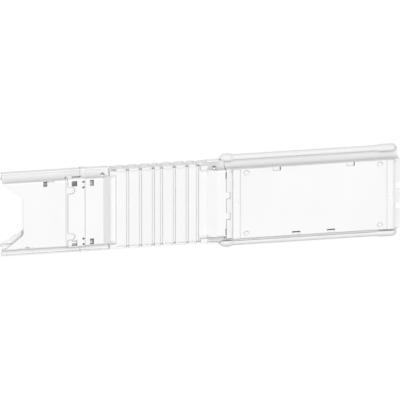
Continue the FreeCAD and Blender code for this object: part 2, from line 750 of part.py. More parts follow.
def knob(tip, length, radius, nose, way):
    """Bullet-shaped end of a rail; way is +1 where the nose points along +X."""
    bow = (nose ** 2 + radius ** 2) / (2 * radius)
    steps = [
        (0, 0),
        turn((nose, radius - bow), bow, 180 - degrees(atan2(bow - radius, nose)), 90),
        (length - KNOB_TAPER, radius),
        (length, RAIL_RADIUS),
        (length, 0),
    ]
    placed = []
    for step in steps:
        if isinstance(step[0], tuple):
            placed.append(tuple((tip - way * point[0], RAIL_AXIS + point[1]) for point in step))
        else:
            placed.append((tip - way * step[0], RAIL_AXIS + step[1]))
    whole = profile(placed, on_xy).revolve(V(0, RAIL_AXIS, 0), V(1, 0, 0), 360)
    low = min(tip, tip - way * length) - PAST
    under = block((low, 0, -2 * radius), (low + length + 2 * PAST, BOX_COVE_END + KNOB_COVE_GAP, 2 * radius))
    return whole.cut(under)


def rail():
    """Round bar that grips the seam flanges of both covers, with a bullet-shaped knob at each end."""
    start = BOX_START - RAIL_OVERHANG
    end = BOX_END - RAIL_SHORT
    body_start = start + KNOB_LEFT_LENGTH - PAST
    body_length = end - KNOB_RIGHT_LENGTH + PAST - body_start
    body = Part.makeCylinder(RAIL_RADIUS, body_length, V(body_start, RAIL_AXIS, 0), V(1, 0, 0))
    under_high = (end, BOX_COVE_END + RAIL_COVE_GAP, 2 * RAIL_RADIUS)
    body = body.cut(block((start, 0, -2 * RAIL_RADIUS), under_high))
    left = knob(start, KNOB_LEFT_LENGTH, KNOB_LEFT_RADIUS, KNOB_LEFT_NOSE, -1)
    right = knob(end, KNOB_RIGHT_LENGTH, KNOB_RIGHT_RADIUS, KNOB_RIGHT_NOSE, 1)
    slot_top = BOX_FLANGE_HALF_WIDTH + RAIL_TOP_GAP
    box_slot = block((BOX_START - BOX_GAP, 0, -RAIL_SLOT), (end + PAST, slot_top, RAIL_SLOT))
    casing_top = FLANGE_HALF_WIDTH + BOX_GAP
    casing_slot = block((start - PAST, 0, -BOX_SEAM), (BOX_START, casing_top, BOX_SEAM))
    return join([body, left, right]).cut([box_slot, casing_slot])


def bar(place, start, end):
    """Flat conductor with a chamfered leading end."""
    half = BAR_WIDTH / 2
    nose = BAR_THICKNESS
    steps = [
        (start, place - half + nose),
        (start + nose, place - half),
        (end, place - half),
        (end, place + half),
        (start + nose, place + half),
        (start, place + half - nose),
    ]
    return run_z(steps, -BAR_THICKNESS / 2, BAR_THICKNESS / 2)


def bar_slots(start, end):
    half = BAR_WIDTH / 2
    slots = []
    for place in BAR_PLACES:
        low = (start, place - half, -BAR_THICKNESS / 2)
        slots.append(block(low, (end, place + half, BAR_THICKNESS / 2)))
    return slots


def carrier(start):
    """Insulating plate that fills the casing and holds the conductors."""
    wide = CASING_HALF_WIDTH - SHEET
    deep = CASING_DEPTH - SHEET
    inset = CORNER_RADIUS
    steps = [
        (-wide, deep - inset),
        (inset - wide, deep),
        (wide - inset, deep),
        (wide, deep - inset),
        (wide, inset - deep),
        (wide - inset, -deep),
        (inset - wide, -deep),
        (-wide, inset - deep),
    ]
    end = start + CARRIER_LENGTH
    return run_x(steps, start, end).cut(bar_slots(start, end))


def jaw():
    """Front insulating jaw of the joint; the conductors of both lengths meet under it."""
    start = RIGHT_CASING_END
    wide = CASING_HALF_WIDTH - JAW_SIDE_GAP
    slab = block((start, -wide, JAW_GAP / 2), (start + JAW_LENGTH, wide, JAW_DEPTH))
    edges = [edge for edge in slab.Edges if edge.CenterOfMass.z > JAW_DEPTH - SHEET]
    return slab.makeFillet(CORNER_RADIUS, edges)


def build():
    nodes = {}
    nodes["male_casing_front"] = male_casing(0)
    nodes["male_casing_back"] = flip_z(male_casing(BACK_MOUTH_EXTRA))
    nodes["saddle_front"] = saddle()
    nodes["saddle_back"] = flip_z(nodes["saddle_front"])
    nodes["seam_clip_top"] = seam_clip()
    nodes["seam_clip_bottom"] = flip_y(nodes["seam_clip_top"])
    nodes["left_adapter_front"] = left_adapter()
    nodes["left_adapter_back"] = flip_z(nodes["left_adapter_front"])
    nodes["left_ring"] = left_ring()
    for number in range(1, LINK_COUNT + 1):
        nodes["link_%d" % number] = link(HINGES[number - 1], HINGES[number])
    nodes["right_ring"] = right_ring()
    for number, hinge in enumerate(HINGES, 1):
        nodes["pin_%d_top" % number] = pin(hinge)
        nodes["pin_%d_bottom" % number] = flip_y(pin(hinge))
    nodes["right_adapter_front"] = right_adapter()
    nodes["right_adapter_back"] = flip_z(nodes["right_adapter_front"])
    nodes["cover_front"] = cover()
    nodes["cover_back"] = flip_z(nodes["cover_front"])
    nodes["rail_top"] = rail()
    nodes["rail_bottom"] = flip_y(nodes["rail_top"])
    nodes["male_carrier"] = carrier(CARRIER_SETBACK)
    nodes["box_carrier"] = carrier(RIGHT_CASING_END - CARRIER_LENGTH)
    nodes["jaw_front"] = jaw()
    nodes["jaw_back"] = flip_z(nodes["jaw_front"])
    bar_end = RIGHT_CASING_END + BAR_IN_JAWS
    for number, place in enumerate(BAR_PLACES, 1):
        nodes["male_bar_%d" % number] = bar(place, MALE_BAR_SETBACK, MALE_LENGTH + MALE_BAR_PAST)
        nodes["box_bar_%d" % number] = bar(place, RIGHT_PLATE_START + BOX_BAR_SETBACK, bar_end)
    return nodes


os.makedirs("parts", exist_ok=True)
TO_STORED = V(-BOX_END / 2, 0, COLUMN_DEPTH)
for name, shape in build().items():
    placed = shape.translated(TO_STORED)
    placed.exportStep("parts/%s.step" % name)
    print(name, len(placed.Solids), round(placed.Volume, 1), placed.isValid())
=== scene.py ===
import math

import bpy
from bpy.props import FloatProperty, FloatVectorProperty, IntProperty, PointerProperty
from mathutils import Matrix, Vector


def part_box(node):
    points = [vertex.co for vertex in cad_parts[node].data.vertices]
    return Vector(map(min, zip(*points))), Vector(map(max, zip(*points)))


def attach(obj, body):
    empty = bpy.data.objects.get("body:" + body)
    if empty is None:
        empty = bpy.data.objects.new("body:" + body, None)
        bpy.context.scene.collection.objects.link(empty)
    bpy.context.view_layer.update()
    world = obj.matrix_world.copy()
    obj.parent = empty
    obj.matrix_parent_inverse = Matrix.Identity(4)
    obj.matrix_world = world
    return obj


bl_info = {
    "name": "Busway Elbow",
    "version": (1, 0, 0),
    "blender": (4, 5, 0),
    "location": "View3D > Sidebar > Busway",
    "description": "Finishes a flexible busway elbow: enamel, plastics, metals, fasteners and studio",
    "category": "Object",
}

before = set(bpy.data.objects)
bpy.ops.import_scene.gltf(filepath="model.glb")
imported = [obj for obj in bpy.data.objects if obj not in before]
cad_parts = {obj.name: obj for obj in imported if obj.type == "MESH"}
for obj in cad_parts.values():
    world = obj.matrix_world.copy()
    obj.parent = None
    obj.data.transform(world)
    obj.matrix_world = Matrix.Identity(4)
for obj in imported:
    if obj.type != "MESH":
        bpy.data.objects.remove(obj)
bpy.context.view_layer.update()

# Noise: scales in waves per metre, and the part of its range that carries most of it
DRIFT_SCALE = 14
GLOSS_SCALE = 90
DRIFT_RANGE = (0.35, 0.65)
NOISE_RANGE = (0.3, 0.7)

# Openness between which each kind of painted shade fades, from full to none
SEAM_RANGE = (0.4, 0.9)
WIDE_SEAM_RANGE = (0.4, 1)
COVE_RANGE = (0.7, 1)
FOLD_RANGE = (0.45, 1)
STEP_RANGE = (0.5, 0.95)
OPENNESS_SAMPLES = 8

# Surface of the coats and of brushed metal
COAT_SPECULAR = 0.35
COAT_BUMP = 0.5
ROUGHNESS_DRIFT = 0.05
EDGE_SAMPLES = 6
BRUSH_SHADE = 0.86
BRUSH_ROUGHNESS = (0.28, 0.45)
BRUSH_BUMP = 0.3
BRUSH_DEPTH = 0.1

# Meshes made here
HEAD_SEGMENTS = 32
HEAD_RINGS = 16
FLOOR_REACH = 6


class EnamelSettings(bpy.types.PropertyGroup):
    casing_colour: FloatVectorProperty(
        name="Casing colour", description="Powder coat of the pressed sheet pieces",
        subtype="COLOR", size=4, min=0, max=1, default=(0.85, 0.85, 0.85, 1))
    link_colour: FloatVectorProperty(
        name="Link colour", description="Moulded links and rings of the chain",
        subtype="COLOR", size=4, min=0, max=1, default=(0.84, 0.84, 0.84, 1))
    # Rail colour is a darker white than the casing's, partly painted shade on the round rails
    rail_colour: FloatVectorProperty(
        name="Rail colour", description="Plastic rails along the box seams",
        subtype="COLOR", size=4, min=0, max=1, default=(0.74, 0.74, 0.74, 1))
    mottle: FloatProperty(
        name="Mottle", description="Share by which the colour drifts over a surface",
        subtype="FACTOR", min=0, max=1, default=0.02)
    roughness: FloatProperty(
        name="Roughness", description="Middle roughness of the coats",
        subtype="FACTOR", min=0, max=1, default=0.5)
    grain_size: FloatProperty(
        name="Grain size", description="Width of the dimples of the coat",
        unit="LENGTH", subtype="DISTANCE", min=0.0001, default=0.0009, precision=5)
    grain_height: FloatProperty(
        name="Grain height", description="Height of the dimples of the coat",
        unit="LENGTH", subtype="DISTANCE", min=0, default=0.000015, precision=6)
    # The seam, cover, cove, sheet, step, fold and ledge settings below set painted shade: colour darkened
    # where pieces meet, deep in coves and at the foot of steps
    seam_reach: FloatProperty(
        name="Seam reach", description="How far the dust of a seam spreads from it",
        unit="LENGTH", subtype="DISTANCE", min=0, default=0.0012, precision=5)
    cover_reach: FloatProperty(
        name="Cover reach", description="How far the dust between covers, rails and rivets spreads",
        unit="LENGTH", subtype="DISTANCE", min=0, default=0.005, precision=5)
    seam_shade: FloatProperty(
        name="Seam shade", description="Share of the colour that is left in a seam",
        subtype="FACTOR", min=0, max=1, default=0.1)
    cove_reach: FloatProperty(
        name="Cove reach", description="How far the dust of a cove spreads out of it",
        unit="LENGTH", subtype="DISTANCE", min=0, default=0.024, precision=5)
    cove_shade: FloatProperty(
        name="Cove shade", description="Share of the colour left deep in a cove of the joint box",
        subtype="FACTOR", min=0, max=1, default=0.62)
    sheet_shade: FloatProperty(
        name="Sheet shade", description="Share of the colour left deep in a cove of the male end",
        subtype="FACTOR", min=0, max=1, default=0.79)
    sheet_rest: FloatProperty(
        name="Sheet rest", description="Openness at which the casing's dust stops below its upper coves",
        subtype="FACTOR", min=0, max=1, default=0.8)
    step_reach: FloatProperty(
        name="Step reach", description="How far the dust at the foot of a small step of the saddle spreads",
        unit="LENGTH", subtype="DISTANCE", min=0, default=0.002, precision=5)
    step_shade: FloatProperty(
        name="Step shade", description="Share of the colour that is left at the foot of such a step",
        subtype="FACTOR", min=0, max=1, default=0.3)
    fold_reach: FloatProperty(
        name="Fold reach", description="How far the dust of a step in a link spreads",
        unit="LENGTH", subtype="DISTANCE", min=0, default=0.007, precision=5)
    fold_shade: FloatProperty(
        name="Fold shade", description="Share of the colour that is left deep in such a step",
        subtype="FACTOR", min=0, max=1, default=0.63)
    ledge: FloatProperty(
        name="Ledge", description="Distance from the middle beyond which dust lies in the upper coves",
        unit="LENGTH", subtype="DISTANCE", default=0.05, precision=5)
    ledge_fade: FloatProperty(
        name="Ledge fade", description="Width over which that dust begins",
        unit="LENGTH", subtype="DISTANCE", min=0.0001, default=0.004, precision=5)
    ledge_rest: FloatProperty(
        name="Ledge rest", description="Openness at which the dust of a cover stops below its upper coves",
        subtype="FACTOR", min=0, max=1, default=0.9)
    edge_radius: FloatProperty(
        name="Edge radius", description="Rounding that the shading gives to sharp edges",
        unit="LENGTH", subtype="DISTANCE", min=0, default=0.0005, precision=5)
    cover_radius: FloatProperty(
        name="Cover radius", description="Rounding that the shading gives to the covers' edges",
        unit="LENGTH", subtype="DISTANCE", min=0, default=0.0008, precision=5)


class MetalSettings(bpy.types.PropertyGroup):
    steel_colour: FloatVectorProperty(
        name="Steel colour", description="Turned pins of the hinges",
        subtype="COLOR", size=4, min=0, max=1, default=(0.62, 0.62, 0.62, 1))
    screw_colour: FloatVectorProperty(
        name="Screw colour", description="Darker steel of the cove screws",
        subtype="COLOR", size=4, min=0, max=1, default=(0.5, 0.5, 0.5, 1))
    tin_colour: FloatVectorProperty(
        name="Tin colour", description="Tinned conductor bars",
        subtype="COLOR", size=4, min=0, max=1, default=(0.72, 0.72, 0.71, 1))
    insulator_colour: FloatVectorProperty(
        name="Insulator colour", description="Carriers and jaws round the conductors",
        subtype="COLOR", size=4, min=0, max=1, default=(0.8, 0.8, 0.8, 1))
    brush_length: FloatProperty(
        name="Brush length", description="Length of the brush marks",
        unit="LENGTH", subtype="DISTANCE", min=0.0001, default=0.02, precision=4)
    brush_width: FloatProperty(
        name="Brush width", description="Width of the brush marks",
        unit="LENGTH", subtype="DISTANCE", min=0.00001, default=0.0004, precision=5)


class FastenerSettings(bpy.types.PropertyGroup):
    rivet_radius: FloatProperty(
        name="Rivet radius", description="Radius of a rivet head in a dimple of a cover's corner",
        unit="LENGTH", subtype="DISTANCE", min=0.0005, default=0.0024, precision=5)
    rivet_rise: FloatProperty(
        name="Rivet rise", description="Height of a rivet head",
        unit="LENGTH", subtype="DISTANCE", min=0.0001, default=0.0013, precision=5)
    rivet_inset: FloatProperty(
        name="Rivet inset", description="From an end of the cover to its corner rivets",
        unit="LENGTH", subtype="DISTANCE", default=0.0317, precision=5)
    rivet_offset: FloatProperty(
        name="Rivet offset", description="From the middle of the cover to its corner rivets",
        unit="LENGTH", subtype="DISTANCE", default=0.0498, precision=5)
    dimple_floor: FloatProperty(
        name="Dimple floor", description="From the crest of a cover down to the floor of a corner dimple",
        unit="LENGTH", subtype="DISTANCE", default=0.0031, precision=5)
    stud_radius: FloatProperty(
        name="Stud radius", description="Radius of the head in a dimple of a cover's end column",
        unit="LENGTH", subtype="DISTANCE", min=0.0005, default=0.0021, precision=5)
    stud_rise: FloatProperty(
        name="Stud rise", description="Height of the head in a dimple of a column",
        unit="LENGTH", subtype="DISTANCE", min=0.0001, default=0.00075, precision=5)
    stud_inset: FloatProperty(
        name="Stud inset", description="From an end of the cover to the middle of its column",
        unit="LENGTH", subtype="DISTANCE", default=0.01525, precision=5)
    stud_floor: FloatProperty(
        name="Stud floor", description="From the crest of a cover down to the floor of a column's dimple",
        unit="LENGTH", subtype="DISTANCE", default=0.0008, precision=5)
    screw_radius: FloatProperty(
        name="Screw radius", description="Radius of a screw head in an adapter's cove",
        unit="LENGTH", subtype="DISTANCE", min=0.0005, default=0.0032, precision=5)
    screw_rise: FloatProperty(
        name="Screw rise", description="Height of a screw head in a cove",
        unit="LENGTH", subtype="DISTANCE", min=0.0001, default=0.0012, precision=5)
    left_screw: FloatProperty(
        name="Left screw", description="From the chain end of the left adapter to its screws",
        unit="LENGTH", subtype="DISTANCE", default=0.0098, precision=5)
    right_screw: FloatProperty(
        name="Right screw", description="From the chain end of the right adapter to its screws",
        unit="LENGTH", subtype="DISTANCE", default=0.013, precision=5)
    screw_offset: FloatProperty(
        name="Screw offset", description="From the middle of the casing out to a screw in a cove",
        unit="LENGTH", subtype="DISTANCE", default=0.05692, precision=5)
    screw_depth: FloatProperty(
        name="Screw depth", description="From the seam plane to a screw in a cove",
        unit="LENGTH", subtype="DISTANCE", default=0.00588, precision=5)
    screw_tilt: FloatProperty(
        name="Screw tilt", description="Turn of a cove screw from the front towards the side",
        unit="ROTATION", subtype="ANGLE", default=math.radians(53))
    seed: IntProperty(
        name="Seed", description="Seed of the turn of each head", default=7)


class StageSettings(bpy.types.PropertyGroup):
    yaw: FloatProperty(
        name="Yaw", description="Camera turned to the left of the front face",
        unit="ROTATION", subtype="ANGLE", default=math.radians(12.3))
    rise: FloatProperty(
        name="Rise", description="Camera raised above the front face",
        unit="ROTATION", subtype="ANGLE", default=math.radians(16.9))
    lens: FloatProperty(
        name="Lens", description="Focal length in millimetres; long, for an almost parallel view",
        min=50, default=1500)
    width: FloatProperty(
        name="Width", description="Width of the picture at the object",
        unit="LENGTH", subtype="DISTANCE", default=0.6283, precision=5)
    target: FloatVectorProperty(
        name="Target", description="Point in the middle of the picture",
        subtype="TRANSLATION", unit="LENGTH", size=3, default=(0.0008, 0.00286, 0.0257), precision=5)
    key_from: FloatVectorProperty(
        name="Key from", description="Direction that the main light comes from",
        subtype="DIRECTION", size=3, default=(-0.14, 0.31, 0.94))
    key_strength: FloatProperty(
        name="Key strength", description="Strength of the main light", min=0, default=2.8)
    key_angle: FloatProperty(
        name="Key angle", description="Angular size of the main light",
        unit="ROTATION", subtype="ANGLE", default=math.radians(12))
    fill: FloatProperty(
        name="Fill", description="Even light from all round", min=0, default=0.275)
    floor_colour: FloatVectorProperty(
        name="Floor colour", description="Pale floor",
        subtype="COLOR", size=4, min=0, max=1, default=(1, 1, 1, 1))
    floor_bounce: FloatVectorProperty(
        name="Floor bounce", description="Colour of the floor as the object is lit by it",
        subtype="COLOR", size=4, min=0, max=1, default=(0.8, 0.8, 0.8, 1))
    floor_glow: FloatProperty(
        name="Floor glow", description="Share of plain white in what the camera sees of the floor",
        subtype="FACTOR", min=0, max=1, default=0.9)


class BuswaySettings(bpy.types.PropertyGroup):
    enamel: PointerProperty(type=EnamelSettings)
    metal: PointerProperty(type=MetalSettings)
    fastener: PointerProperty(type=FastenerSettings)
    stage: PointerProperty(type=StageSettings)


def shader(name):
    """A new material with its nodes, links and main shader."""
    material = bpy.data.materials.new(name)
    material.use_nodes = True
    nodes = material.node_tree.nodes
    return material, nodes, material.node_tree.links, nodes["Principled BSDF"]


def shade(colour, factor):
    return [min(1, channel * factor) for channel in colour[:3]] + [1]


def noise(nodes, links, vector, scale, detail):
    node = nodes.new("ShaderNodeTexNoise")
    node.inputs["Scale"].default_value = scale
    node.inputs["Detail"].default_value = detail
    links.new(vector, node.inputs["Vector"])
    return node.outputs["Fac"]


def ramp(nodes, links, value, reach, first, last):
    """Colours from first to last as the value goes through the reach."""
    node = nodes.new("ShaderNodeValToRGB")
    for stop, position, colour in zip(node.color_ramp.elements, reach, (first, last)):
        stop.position = position
        stop.color = colour
    links.new(value, node.inputs["Fac"])
    return node.outputs["Color"]


def spread(nodes, links, value, low, high):
    """A value that runs from low to high over the middle of a noise."""
    node = nodes.new("ShaderNodeMapRange")
    node.inputs["From Min"].default_value = NOISE_RANGE[0]
    node.inputs["From Max"].default_value = NOISE_RANGE[1]
    node.inputs["To Min"].default_value = low
    node.inputs["To Max"].default_value = high
    links.new(value, node.inputs["Value"])
    return node.outputs["Result"]


def openness(nodes, reach, own):
    """How far a spot lies open to its surroundings within the reach, or only to its own piece."""
    near = nodes.new("ShaderNodeAmbientOcclusion")
    near.samples = OPENNESS_SAMPLES
    near.only_local = own
    near.inputs["Distance"].default_value = reach
    return near.outputs["AO"]


def between(nodes, links, reach):
    """How far a spot lies open to all pieces but its own within the reach."""
    share = nodes.new("ShaderNodeMath")
    share.operation = "DIVIDE"
    links.new(openness(nodes, reach, False), share.inputs[0])
    links.new(openness(nodes, reach, True), share.inputs[1])
    return share.outputs["Value"]


def painted_shade(nodes, links, colour, value, left, reach):
    """The colour, darkened as painted shade to the share left as the value falls through the reach."""
    share = ramp(nodes, links, value, reach, shade((1, 1, 1), left), (1, 1, 1, 1))
    blend = nodes.new("ShaderNodeMix")
    blend.data_type = "RGBA"
    blend.blend_type = "MULTIPLY"
    blend.inputs["Factor"].default_value = 1
    links.new(colour, blend.inputs["A"])
    links.new(share, blend.inputs["B"])
    return blend.outputs["Result"]


def on_ledges(nodes, links, place, value, settings, rest):
    """The value on the ledges of the upper side, where the painted shade of the coves lies, and little of
    it below them.
    """
    axes = nodes.new("ShaderNodeSeparateXYZ")
    links.new(place, axes.inputs["Vector"])
    below = nodes.new("ShaderNodeMapRange")
    below.inputs["From Min"].default_value = settings.ledge
    below.inputs["From Max"].default_value = settings.ledge + settings.ledge_fade
    below.inputs["To Min"].default_value = rest
    below.inputs["To Max"].default_value = 0
    links.new(axes.outputs["Y"], below.inputs["Value"])
    larger = nodes.new("ShaderNodeMath")
    larger.operation = "MAXIMUM"
    links.new(value, larger.inputs[0])
    links.new(below.outputs["Result"], larger.inputs[1])
    return larger.outputs["Value"]


def coat(name, colour, settings, wide=False, cove=None, steps=False):
    """Powder coat or plastic with slow drift, fine grain, soft edges and painted shade in seams and
    hollows.

    Wide seams spread their painted shade further. A cove is the share of colour left deep in one, and the
    openness at which its painted shade stops below the ledges. Steps adds a line of painted shade at the
    foot of small steps.
    """
    material, nodes, links, main = shader(name)
    place = nodes.new("ShaderNodeTexCoord").outputs["Object"]
    drift = noise(nodes, links, place, DRIFT_SCALE, 3)
    tint = ramp(nodes, links, drift, DRIFT_RANGE, shade(colour, 1 - settings.mottle), shade(colour, 1))
    # Painted shade: darker where other pieces lie close, in the seams between parts
    gap = between(nodes, links, settings.cover_reach if wide else settings.seam_reach)
    surface = painted_shade(nodes, links, tint, gap, settings.seam_shade, WIDE_SEAM_RANGE if wide else SEAM_RANGE)
    if cove:
        # Painted shade deep in the coves, kept mostly to the upper coves
        left, rest = cove
        hollow = openness(nodes, settings.cove_reach, True)
        hollow = on_ledges(nodes, links, place, hollow, settings, rest)
        surface = painted_shade(nodes, links, surface, hollow, left, COVE_RANGE)
    else:
        # Painted shade deep in the folds and steps of the piece
        hollow = openness(nodes, settings.fold_reach, True)
        surface = painted_shade(nodes, links, surface, hollow, settings.fold_shade, FOLD_RANGE)
    if steps:
        # Painted shade along the foot of small steps
        foot = openness(nodes, settings.step_reach, True)
        surface = painted_shade(nodes, links, surface, foot, settings.step_shade, STEP_RANGE)
    links.new(surface, main.inputs["Base Color"])
    gloss = noise(nodes, links, place, GLOSS_SCALE, 2)
    low = settings.roughness - ROUGHNESS_DRIFT
    high = settings.roughness + ROUGHNESS_DRIFT
    links.new(spread(nodes, links, gloss, low, high), main.inputs["Roughness"])
    grain = noise(nodes, links, place, 1 / settings.grain_size, 2)
    edge = nodes.new("ShaderNodeBevel")
    edge.samples = EDGE_SAMPLES
    edge.inputs["Radius"].default_value = settings.cover_radius if wide else settings.edge_radius
    bump = nodes.new("ShaderNodeBump")
    bump.inputs["Strength"].default_value = COAT_BUMP
    bump.inputs["Distance"].default_value = settings.grain_height
    links.new(grain, bump.inputs["Height"])
    links.new(edge.outputs["Normal"], bump.inputs["Normal"])
    links.new(bump.outputs["Normal"], main.inputs["Normal"])
    main.inputs["Specular IOR Level"].default_value = COAT_SPECULAR
    return material


def brushed(name, colour, along, settings):
    """Bare metal with brush marks along one axis."""
    material, nodes, links, main = shader(name)
    place = nodes.new("ShaderNodeTexCoord").outputs["Object"]
    stretch = nodes.new("ShaderNodeMapping")
    scale = [1 / settings.brush_width] * 3
    scale[along] = 1 / settings.brush_length
    stretch.inputs["Scale"].default_value = scale
    links.new(place, stretch.inputs["Vector"])
    marks = noise(nodes, links, stretch.outputs["Vector"], 1, 3)
    tint = ramp(nodes, links, marks, NOISE_RANGE, shade(colour, BRUSH_SHADE), shade(colour, 1))
    links.new(tint, main.inputs["Base Color"])
    links.new(spread(nodes, links, marks, *BRUSH_ROUGHNESS), main.inputs["Roughness"])
    bump = nodes.new("ShaderNodeBump")
    bump.inputs["Strength"].default_value = BRUSH_BUMP
    bump.inputs["Distance"].default_value = settings.brush_width * BRUSH_DEPTH
    links.new(marks, bump.inputs["Height"])
    links.new(bump.outputs["Normal"], main.inputs["Normal"])
    main.inputs["Metallic"].default_value = 1
    return material


def in_view(nodes, links):
    """One for rays of the camera and for those that metal or glass sends on, else nought."""
    path = nodes.new("ShaderNodeLightPath")
    total = path.outputs["Is Camera Ray"]
    for kind in ("Is Glossy Ray", "Is Transmission Ray"):
        either = nodes.new("ShaderNodeMath")
        either.operation = "MAXIMUM"
        links.new(total, either.inputs[0])
        links.new(path.outputs[kind], either.inputs[1])
        total = either.outputs["Value"]
    return total


def paint(prefixes, material):
    """Gives the material to every CAD node whose name starts with one of the prefixes."""
    chosen = [node for name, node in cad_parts.items() if name.startswith(prefixes)]
    if not chosen:
        raise RuntimeError("no CAD node starts with %s" % (prefixes,))
    for node in chosen:
        node.data.materials.clear()
        node.data.materials.append(material)


def socket(tree, name, kind, way="INPUT"):
    return tree.interface.new_socket(name, in_out=way, socket_type="NodeSocket" + kind).identifier


def head_tree(name):
    """Geometry nodes that set a domed head on every point, facing along the point's own vector."""
    tree = bpy.data.node_groups.new(name, "GeometryNodeTree")
    ids = {"points": socket(tree, "Points", "Geometry")}
    ids["radius"] = socket(tree, "Head radius", "Float")
    ids["rise"] = socket(tree, "Head rise", "Float")
    ids["seed"] = socket(tree, "Seed", "Int")
    ids["material"] = socket(tree, "Material", "Material")
    socket(tree, "Heads", "Geometry", "OUTPUT")
    nodes = tree.nodes
    links = tree.links
    given = nodes.new("NodeGroupInput").outputs
    ball = nodes.new("GeometryNodeMeshUVSphere")
    ball.inputs["Segments"].default_value = HEAD_SEGMENTS
    ball.inputs["Rings"].default_value = HEAD_RINGS
    ball.inputs["Radius"].default_value = 1
    size = nodes.new("ShaderNodeCombineXYZ")
    links.new(given["Head radius"], size.inputs["X"])
    links.new(given["Head radius"], size.inputs["Y"])
    links.new(given["Head rise"], size.inputs["Z"])
    dome = nodes.new("GeometryNodeTransform")
    links.new(ball.outputs["Mesh"], dome.inputs["Geometry"])
    links.new(size.outputs["Vector"], dome.inputs["Scale"])
    facing = nodes.new("GeometryNodeInputNamedAttribute")
    facing.data_type = "FLOAT_VECTOR"
    facing.inputs["Name"].default_value = "facing"
    aim = nodes.new("FunctionNodeAlignRotationToVector")
    aim.axis = "Z"
    links.new(facing.outputs["Attribute"], aim.inputs["Vector"])
    chance = nodes.new("FunctionNodeRandomValue")
    chance.data_type = "FLOAT_VECTOR"
    chance.inputs["Max"].default_value = (0, 0, math.tau)
    links.new(given["Seed"], chance.inputs["Seed"])
    spin = nodes.new("FunctionNodeRotateRotation")
    spin.rotation_space = "LOCAL"
    links.new(aim.outputs["Rotation"], spin.inputs["Rotation"])
    links.new(chance.outputs["Value"], spin.inputs["Rotate By"])
    place = nodes.new("GeometryNodeInstanceOnPoints")
    links.new(given["Points"], place.inputs["Points"])
    links.new(dome.outputs["Geometry"], place.inputs["Instance"])
    links.new(spin.outputs["Rotation"], place.inputs["Rotation"])
    real = nodes.new("GeometryNodeRealizeInstances")
    links.new(place.outputs["Instances"], real.inputs["Geometry"])
    finish = nodes.new("GeometryNodeSetMaterial")
    links.new(real.outputs["Geometry"], finish.inputs["Geometry"])
    links.new(given["Material"], finish.inputs["Material"])
    links.new(finish.outputs["Geometry"], nodes.new("NodeGroupOutput").inputs["Heads"])
    return tree, ids


def set_heads(name, body, spots, values):
    """One plain mesh of heads at the spots, each a point and the way it faces, riding on the body."""
    tree, ids = head_tree(name)
    mesh = bpy.data.meshes.new(name)
    mesh.from_pydata([point for point, way in spots], [], [])
    facing = mesh.attributes.new("facing", "FLOAT_VECTOR", "POINT")
    for item, (point, way) in zip(facing.data, spots):
        item.vector = way
    holder = bpy.data.objects.new(name + "_points", mesh)
    bpy.context.scene.collection.objects.link(holder)
    modifier = holder.modifiers.new("Heads", "NODES")
    modifier.node_group = tree
    for key, value in values.items():
        modifier[ids[key]] = value
    solid = bpy.data.meshes.new_from_object(holder.evaluated_get(bpy.context.evaluated_depsgraph_get()))
    holder.modifiers.remove(modifier)
    bpy.data.objects.remove(holder)
    solid.name = name
    solid.shade_smooth()
    piece = bpy.data.objects.new(name, solid)
    bpy.context.scene.collection.objects.link(piece)
    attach(piece, body)
    return piece


class BUSWAY_OT_casing(bpy.types.Operator):
    """Powder coat on the casings, adapters, saddles, clips and covers"""
    bl_idname = "busway.casing"
    bl_label = "Coat the casing"

    def execute(self, context):
        settings = context.scene.busway.enamel
        colour = settings.casing_colour
        # Each pair gives the share of colour left as painted shade deep in a cove, and the openness at
        # which that painted shade stops below the upper coves
        shallow = (settings.sheet_shade, settings.sheet_rest)
        deep = (settings.cove_shade, settings.sheet_rest)
        cover = (settings.cove_shade, settings.ledge_rest)
        sheet = coat("casing_enamel", colour, settings, cove=shallow)
        paint(("male_casing", "left_adapter", "seam_clip"), sheet)
        paint(("right_adapter",), coat("adapter_enamel", colour, settings, cove=deep))
        paint(("saddle",), coat("saddle_enamel", colour, settings, cove=shallow, steps=True))
        paint(("cover",), coat("cover_enamel", colour, settings, wide=True, cove=cover))
        return {"FINISHED"}


class BUSWAY_OT_chain(bpy.types.Operator):
    """Moulded finish on the links and rings"""
    bl_idname = "busway.chain"
    bl_label = "Finish the chain"

    def execute(self, context):
        settings = context.scene.busway.enamel
        paint(("link", "left_ring", "right_ring"), coat("link_enamel", settings.link_colour, settings))
        return {"FINISHED"}


class BUSWAY_OT_rails(bpy.types.Operator):
    """Plastic finish on the seam rails"""
    bl_idname = "busway.rails"
    bl_label = "Finish the rails"

    def execute(self, context):
        settings = context.scene.busway.enamel
        # The rails take the covers' painted shade in their coves
        cove = (settings.cove_shade, settings.ledge_rest)
        paint(("rail",), coat("rail_plastic", settings.rail_colour, settings, wide=True, cove=cove))
        return {"FINISHED"}


class BUSWAY_OT_conductors(bpy.types.Operator):
    """Metal on the pins and bars, pale plastic on the carriers and jaws"""
    bl_idname = "busway.conductors"
    bl_label = "Finish the conductors"

    def execute(self, context):
        metal = context.scene.busway.metal
        enamel = context.scene.busway.enamel
        paint(("pin",), brushed("pin_steel", metal.steel_colour, 1, metal))
        brushed("screw_steel", metal.screw_colour, 1, metal)
        paint(("male_bar", "box_bar"), brushed("conductor_tin", metal.tin_colour, 0, metal))
        paint(("male_carrier", "box_carrier", "jaw"), coat("insulator", metal.insulator_colour, enamel))
        return {"FINISHED"}


